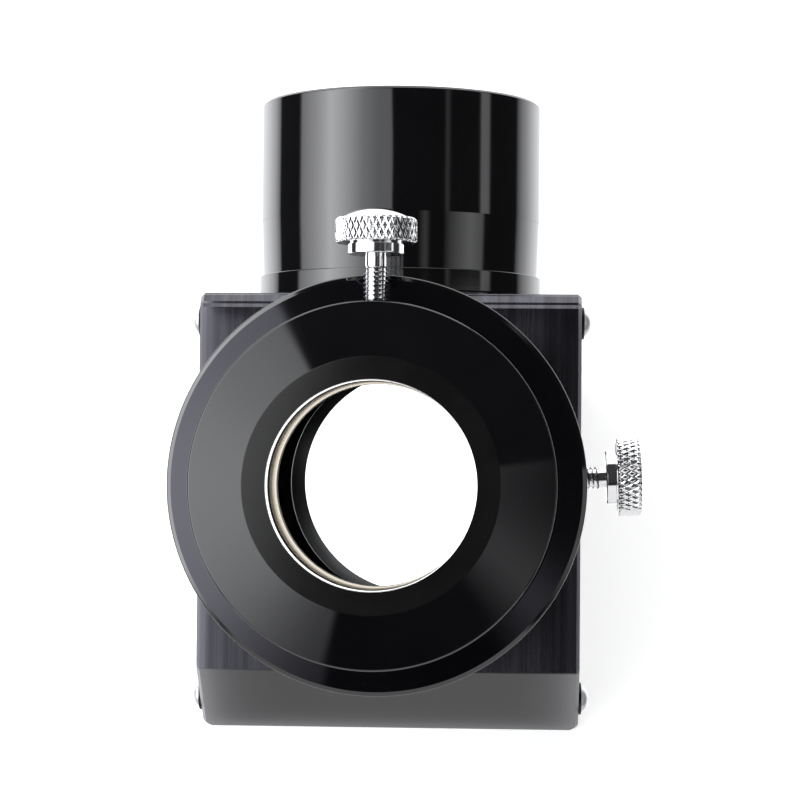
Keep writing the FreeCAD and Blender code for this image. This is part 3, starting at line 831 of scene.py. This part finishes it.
def add_nosepiece():
    thread_low = NOSE_END - FILTER_DEPTH
    low_fillet, top_fillet = NOSE_SHOULDER_FILLETS
    outline = rounded([
        (LIGHT_RADIUS, SPIGOT_END),
        (PORT_RADIUS, SPIGOT_END),
        (PORT_RADIUS, FACE),
        (NOSE_RELIEF_RADIUS, FACE),
        (NOSE_RELIEF_RADIUS, NOSE_RELIEF_TOP),
        (NOSE_SHOULDER_RADIUS, NOSE_RELIEF_TOP, low_fillet),
        (NOSE_SHOULDER_RADIUS, NOSE_SHOULDER_TOP, top_fillet),
        (NOSE_UNDERCUT_RADIUS, NOSE_SHOULDER_TOP),
        (BARREL_RADIUS - NOSE_UNDERCUT_STEP, NOSE_UNDERCUT_TOP),
        (BARREL_RADIUS, NOSE_UNDERCUT_TOP),
        (BARREL_RADIUS, NOSE_END - NOSE_RIM, NOSE_RIM_FILLET),
        (BARREL_RADIUS - NOSE_RIM, NOSE_END, NOSE_RIM_FILLET),
        (FILTER_RADIUS, NOSE_END),
    ])
    thread_heights = spread(NOSE_END - FILTER_LEAD, thread_low, FILTER_PITCH / FILTER_STEPS)
    outline += [(FILTER_RADIUS, h) for h in thread_heights]
    outline += baffles(NOSE_BORE_RADIUS, thread_low, NOSE_RELIEF_TOP, NOSE_BAFFLE_DEPTH)
    outline += [(NOSE_BORE_RADIUS, NOSE_RELIEF_TOP)]
    cut = thread(thread_low, NOSE_END, FILTER_PITCH, FILTER_GROOVE, FILTER_PITCH)

    def shape(radius, height, angle):
        if abs(radius - FILTER_RADIUS) > NEAR:
            return radius
        return 2 * FILTER_RADIUS - cut(radius, height, angle)

    piece = turned("nosepiece_detail", outline, NOSE, LATHE_SEGMENTS, shape)
    stands_for(piece, "nosepiece", POLISHED)
    top = NOSE_END - SUPPORT
    finish_faces(piece, MATT, lambda radius, height: radius < FILTER_RADIUS + SUPPORT and height < top)


# ---- eyepiece side ----------------------------------------------------------------------------

def add_holder():
    groove_low = HOLDER_SCREW_HEIGHT - HOLDER_GROOVE_HALF
    groove_top = HOLDER_SCREW_HEIGHT + HOLDER_GROOVE_HALF
    rim = HOLDER_TOP - HOLDER_FACE_DROP
    outline = rounded([
        (LIGHT_RADIUS, SPIGOT_END),
        (PORT_RADIUS, SPIGOT_END),
        (PORT_RADIUS, FACE),
        (HOLDER_RADIUS, FACE, HOLDER_FOOT_FILLET),
        (HOLDER_RADIUS, rim - HOLDER_RIM_DROP, HOLDER_EDGE_FILLET),
        (HOLDER_RADIUS - HOLDER_RIM_WIDTH, rim, HOLDER_FACE_FILLET),
        (HOLDER_SEAT_RADIUS, HOLDER_TOP, HOLDER_FACE_FILLET),
        (HOLDER_BORE, HOLDER_TOP, HOLDER_MOUTH_FILLET),
        (HOLDER_BORE, groove_top),
        (HOLDER_GROOVE, groove_top),
        (HOLDER_GROOVE, groove_low),
        (HOLDER_BORE, groove_low),
        (HOLDER_BORE, HOLDER_STOP),
        (LIGHT_RADIUS, HOLDER_STOP),
    ])
    piece = turned("eyepiece_holder_detail", outline, EYEPIECE, LATHE_SEGMENTS)
    stands_for(piece, "eyepiece_holder", BLUED)
    face = HOLDER_RADIUS - HOLDER_RIM_WIDTH
    finish_faces(piece, MATT, lambda radius, height: radius < HOLDER_GROOVE + SUPPORT and height < rim)
    finish_faces(piece, POLISHED, lambda radius, height: radius > face - SUPPORT and height > FACE)


def add_adapter():
    land_end = ADAPTER_MOUTH - ADAPTER_LAND
    outline = rounded([
        (ADAPTER_RELIEF, ADAPTER_END),
        (ADAPTER_BARREL, ADAPTER_END, ADAPTER_END_FILLET),
        (ADAPTER_BARREL, ADAPTER_SEAT),
        (ADAPTER_HEAD, ADAPTER_SEAT, ADAPTER_SEAT_FILLET),
        (ADAPTER_HEAD, ADAPTER_HEAD_TOP - ADAPTER_HEAD_CHAMFER, ADAPTER_HEAD_FILLET),
        (ADAPTER_HEAD - ADAPTER_HEAD_CHAMFER, ADAPTER_HEAD_TOP, ADAPTER_HEAD_FILLET),
        (ADAPTER_CONE_RADIUS, ADAPTER_CONE_TOP, ADAPTER_CONE_FILLET),
        (EYEPIECE_BORE, ADAPTER_MOUTH, ADAPTER_LIP),
        (EYEPIECE_BORE, land_end),
    ], closed=False)
    outline += baffles(EYEPIECE_BORE, land_end - SUPPORT, ADAPTER_GROOVE_TOP)
    outline += [
        (EYEPIECE_BORE, ADAPTER_GROOVE_TOP),
        (ADAPTER_GROOVE, ADAPTER_GROOVE_TOP),
        (ADAPTER_GROOVE, ADAPTER_GROOVE_LOW),
        (EYEPIECE_BORE, ADAPTER_GROOVE_LOW),
        (EYEPIECE_BORE, ADAPTER_LAND_LOW),
    ]
    outline += baffles(ADAPTER_RELIEF, ADAPTER_RELIEF_TOP, ADAPTER_END)
    piece = turned("adapter_body_detail", outline, EYEPIECE, LATHE_SEGMENTS)
    stands_for(piece, "adapter_body", POLISHED)
    lip = EYEPIECE_BORE + ADAPTER_LIP
    mouth = ADAPTER_CONE_RADIUS - SUPPORT
    finish_faces(piece, SOFT, lambda radius, height: radius < mouth and height > ADAPTER_HEAD_TOP)
    finish_faces(piece, BARE, lambda radius, height: radius < lip and height > land_end)
    inner = ADAPTER_RELIEF + SUPPORT
    finish_faces(piece, MATT, lambda radius, height: radius < inner and height < land_end)


def facing(axis):
    """The eyepiece frame turned so that its X points along a thumbscrew's axis."""
    return axis_frame(crossing, EYEPIECE_AXIS, axis)


def add_rings(holder_axis):
    low = HOLDER_SCREW_HEIGHT - HOLDER_RING_HALF
    top = HOLDER_SCREW_HEIGHT + HOLDER_RING_HALF
    holder_ring = rounded([
        (HOLDER_RING_INNER, low, RING_FILLET),
        (HOLDER_RING_OUTER, low, RING_FILLET),
        (HOLDER_RING_OUTER, top, RING_FILLET),
        (HOLDER_RING_INNER, top, RING_FILLET),
    ])
    gap = RING_GAP / HOLDER_RING_INNER
    piece = turned("holder_ring_detail", holder_ring, facing(holder_axis), RING_SEGMENTS, gap=gap)
    stands_for(piece, "holder_compression_ring", BRASS)
    adapter_ring = rounded([
        (EYEPIECE_BORE, ADAPTER_RING_LOW, RING_FILLET),
        (ADAPTER_RING_OUTER, ADAPTER_RING_LOW, RING_FILLET),
        (ADAPTER_RING_OUTER, ADAPTER_RING_TOP, RING_FILLET),
        (EYEPIECE_BORE + ADAPTER_RING_FLARE, ADAPTER_RING_TOP, RING_FILLET),
        (EYEPIECE_BORE, ADAPTER_RING_TOP - ADAPTER_RING_LEAD),
    ])
    gap = RING_GAP / EYEPIECE_BORE
    piece = turned("adapter_ring_detail", adapter_ring, facing(-RIGHT), RING_SEGMENTS, gap=gap)
    stands_for(piece, "adapter_compression_ring", BRASS)


# ---- thumbscrews ------------------------------------------------------------------------------

def thumbscrew_frame(prefix, height):
    """A frame about the screw's own axis, with its origin on the eyepiece axis."""
    axis = Vector(joints[prefix + "_turn"]["axis"])
    return axis_frame(crossing + EYEPIECE_AXIS * height, axis, EYEPIECE_AXIS), axis


def along(node, matrix):
    """Where a node starts and ends along a frame's Z, at rest."""
    inverse = matrix.inverted()
    heights = [(inverse @ v.co).z for v in frame["nodes"][node].data.vertices]
    return min(heights), max(heights)


def add_stud(prefix, matrix):
    tip, end = along(prefix + "_stud", matrix)
    neck = end - STUD_IN_KNOB - NECK_LENGTHS[prefix]
    heights = spread(tip + STUD_TIP_CHAMFER, neck - STUD_RUNOUT, STUD_PITCH / STUD_STEPS)
    outline = [(STUD_RADIUS * STUD_END_SHARE, tip), (STUD_RADIUS - STUD_TIP_CHAMFER, tip)]
    outline += [(STUD_RADIUS, h) for h in heights]
    outline += [(NECK_RADIUS, neck), (NECK_RADIUS, end - STUD_END_CHAMFER)]
    outline += [(NECK_RADIUS * STUD_END_SHARE, end)]
    shape = thread(tip, neck + STUD_PITCH, STUD_PITCH, STUD_THREAD_DEPTH, STUD_PITCH)

    def threaded(radius, height, angle):
        return shape(radius, height, angle) if radius == STUD_RADIUS else radius

    piece = turned(prefix + "_stud_detail", outline, matrix, SMALL_SEGMENTS, threaded, closed=False)
    stands_for(piece, prefix + "_stud", CHROME)


def add_knob(prefix, matrix):
    start, crown = along(prefix + "_knob", matrix)
    rim = start + COLLAR_HEIGHT
    top = rim + KNOB_HEIGHT
    inner_edge, outer_edge = KNOB_UNDERSIDE_EDGES
    outline = rounded([
        (KNOB_BORE_RADIUS, start),
        (COLLAR_RADIUS, start, COLLAR_FILLET),
        (COLLAR_RADIUS, rim - COLLAR_FILLET),
        (COLLAR_RADIUS - COLLAR_STEP, rim - COLLAR_STEP),
        (COLLAR_RADIUS - COLLAR_STEP, rim + KNOB_RECESS),
        (KNOB_RADIUS - inner_edge, rim),
        (KNOB_RADIUS - outer_edge, rim),
    ], closed=False)
    outline += [(KNOB_RADIUS, h) for h in spread(rim, top, KNURL_PERIOD / KNURL_STEPS)]
    rounding = KNOB_RADIUS - KNOB_LIP
    for radius in spread(rounding, CROWN_FLAT, CROWN_STEP):
        outline.append((radius, crown - (crown - top) * (radius / rounding) ** 2))
    bore_floor = start + KNOB_BORE_DEPTH
    outline = [(CROWN_FLAT, bore_floor), (KNOB_BORE_RADIUS, bore_floor)] + outline
    segments = KNURL_COUNT * KNURL_SEGMENTS
    shape = knurl(rim, top, KNOB_RADIUS)
    piece = turned(prefix + "_knob_detail", outline, matrix, segments, shape, closed=False)
    stands_for(piece, prefix + "_knob", CHROME)


def add_thumbscrew(prefix, height):
    """A thumbscrew's stud and knob; returns the direction it points in."""
    matrix, axis = thumbscrew_frame(prefix, height)
    add_stud(prefix, matrix)
    add_knob(prefix, matrix)
    return axis


# ---- stage ------------------------------------------------------------------------------------

def add_floor():
    size = STAGE_SIZE
    corners = [(-size, -size, 0), (size, -size, 0), (size, size, 0), (-size, size, 0)]
    below = Matrix.Translation((0, 0, -SUPPORT))
    floor = mesh_object("floor", corners, [(0, 1, 2, 3)], below)
    finish = Finish("pale_floor", Roughness=0.9)
    finish.shader.inputs["Specular IOR Level"].default_value = 0.0
    finish.shader.inputs["Base Color"].default_value = FLOOR_COLOUR
    finish.shader.inputs["Emission Color"].default_value = WHITE
    finish.shader.inputs["Emission Strength"].default_value = FLOOR_GLOW
    floor.data.materials.append(finish.material)
    floor.visible_glossy = False


def add_backdrop():
    """A plain white wall round and over the stage, which only the camera sees."""
    size = STAGE_SIZE
    base = [(-size, -size), (size, -size), (size, size), (-size, size)]
    corners = [(x, y, z) for z in (-SUPPORT, 2 * size) for x, y in base]
    faces = [(i, (i + 1) % 4, (i + 1) % 4 + 4, i + 4) for i in range(4)] + [(4, 5, 6, 7)]
    wall = mesh_object("backdrop", corners, faces)
    finish = Finish("white_wall", Roughness=1.0)
    finish.shader.inputs["Base Color"].default_value = BLACK
    finish.shader.inputs["Emission Color"].default_value = WHITE
    finish.shader.inputs["Emission Strength"].default_value = 1.0
    wall.data.materials.append(finish.material)
    for ray in ("diffuse", "glossy", "transmission", "shadow"):
        setattr(wall, "visible_" + ray, False)


class Room:
    """The studio round the object as a world shader: white walls, a large soft light on the left
    and a thin one on the right, with the dark front of the room between them."""

    def __init__(self):
        world = bpy.data.worlds.new("studio")
        bpy.context.scene.world = world
        world.use_nodes = True
        self.nodes = world.node_tree.nodes
        self.links = world.node_tree.links
        self.background = self.nodes["Background"]
        self.direction = self.nodes.new("ShaderNodeTexCoord").outputs["Generated"]

    def feed(self, value, socket):
        if isinstance(value, (int, float)):
            socket.default_value = value
        else:
            self.links.new(value, socket)

    def math(self, operation, *values):
        node = self.nodes.new("ShaderNodeMath")
        node.operation = operation
        for value, socket in zip(values, node.inputs):
            self.feed(value, socket)
        return node.outputs["Value"]

    def along(self, axis):
        node = self.nodes.new("ShaderNodeVectorMath")
        node.operation = "DOT_PRODUCT"
        node.inputs[1].default_value = axis
        self.links.new(self.direction, node.inputs[0])
        return node.outputs["Value"]

    def rise(self, value, start, end):
        """From 0 at the start to 1 at the end, smoothly."""
        node = self.nodes.new("ShaderNodeMapRange")
        node.interpolation_type = "SMOOTHSTEP"
        node.inputs["From Min"].default_value = start
        node.inputs["From Max"].default_value = end
        self.links.new(value, node.inputs["Value"])
        return node.outputs["Result"]

    def panels(self, azimuth, stops):
        """Brightness at an azimuth, from (degrees, level) stops."""
        node = self.nodes.new("ShaderNodeValToRGB")
        elements = node.color_ramp.elements
        while len(elements) < len(stops):
            elements.new(0.5)
        for element, (degrees, level) in zip(elements, stops):
            element.position = degrees / 360 + 0.5
            element.color = (*[level / BRIGHTEST * tint for tint in PANEL_TINT], 1.0)
        self.links.new(self.math("MULTIPLY_ADD", azimuth, 1 / 360, 0.5), node.inputs["Fac"])
        return node.outputs["Color"]

    def mix(self, factor, a, b):
        """From colour a to b; either may be a plain level."""
        node = self.nodes.new("ShaderNodeMix")
        node.data_type = "RGBA"
        self.links.new(factor, node.inputs["Factor"])
        colours = [socket for socket in node.inputs if socket.type == "RGBA"]
        for value, socket in zip((a, b), colours):
            if isinstance(value, float):
                socket.default_value = (value, value, value, 1.0)
            else:
                self.links.new(value, socket)
        return next(socket for socket in node.outputs if socket.type == "RGBA")


def add_world():
    """The panels round the nosepiece's axis, behind a dark front with two leaning edges, fading
    towards the floor, with a pale ceiling and a pale foot."""
    room = Room()
    height = room.along(NOSE_AXIS)
    angle = room.math("ARCTAN2", room.along(RIGHT), room.along(EYEPIECE_AXIS))
    azimuth = room.math("MULTIPLY", angle, math.degrees(1))
    upper = room.panels(azimuth, UPPER_PANELS)
    lower = room.panels(azimuth, LOWER_PANELS)
    sides = room.mix(room.rise(height, PANEL_STEP - PANEL_BLUR, PANEL_STEP + PANEL_BLUR), lower, upper)
    leaning_high = room.math("MULTIPLY_ADD", height, FRONT_LEAN_HIGH, azimuth)
    past_high = room.rise(leaning_high, FRONT_EDGE_HIGH - FRONT_BLUR, FRONT_EDGE_HIGH)
    leaning_low = room.math("MULTIPLY_ADD", height, FRONT_LEAN_LOW, azimuth)
    past_low = room.rise(leaning_low, FRONT_EDGE_LOW - FRONT_BLUR, FRONT_EDGE_LOW)
    past_softbox = room.math("MAXIMUM", past_high, past_low)
    before_panel = room.rise(azimuth, FRONT_END, FRONT_END - FRONT_END_BLUR)
    front = room.math("MULTIPLY", past_softbox, before_panel)
    sides = room.mix(front, sides, DARK / BRIGHTEST)
    sides = room.mix(room.rise(height, FLOOR_FADE_START, FLOOR_FADE_END), sides, 0.0)
    ceiling = room.rise(height, CEILING_EDGE - EDGE_BLUR, CEILING_EDGE + EDGE_BLUR)
    foot = room.rise(height, FOOT_EDGE + EDGE_BLUR, FOOT_EDGE - EDGE_BLUR)
    sides = room.mix(ceiling, sides, CEILING / BRIGHTEST)
    room.links.new(room.mix(foot, sides, FOOT / BRIGHTEST), room.background.inputs["Color"])
    room.background.inputs["Strength"].default_value = BRIGHTEST


def add_camera():
    camera = bpy.data.objects.new("camera", bpy.data.cameras.new("camera"))
    bpy.context.scene.collection.objects.link(camera)
    camera.data.lens = CAMERA_LENS
    turn = Matrix.Rotation(CAMERA_YAW, 4, "Y")
    turn = turn @ Matrix.Rotation(CAMERA_PITCH, 4, "X")
    turn = turn @ Matrix.Rotation(CAMERA_ROLL, 4, "Z")
    camera.matrix_world = EYEPIECE @ Matrix.Translation(CAMERA_PLACE) @ turn
    bpy.context.scene.camera = camera


def set_colours():
    view = bpy.context.scene.view_settings
    view.view_transform = "Standard"
    view.look = "None"


finish_housing()
add_side_fasteners()
add_cell_screws()
add_nosepiece()
add_holder()
add_adapter()
holder_axis = add_thumbscrew("holder_screw", HOLDER_SCREW_HEIGHT)
add_thumbscrew("adapter_screw", ADAPTER_SCREW_HEIGHT)
add_rings(holder_axis)
add_floor()
add_backdrop()
add_world()
add_camera()
set_colours()
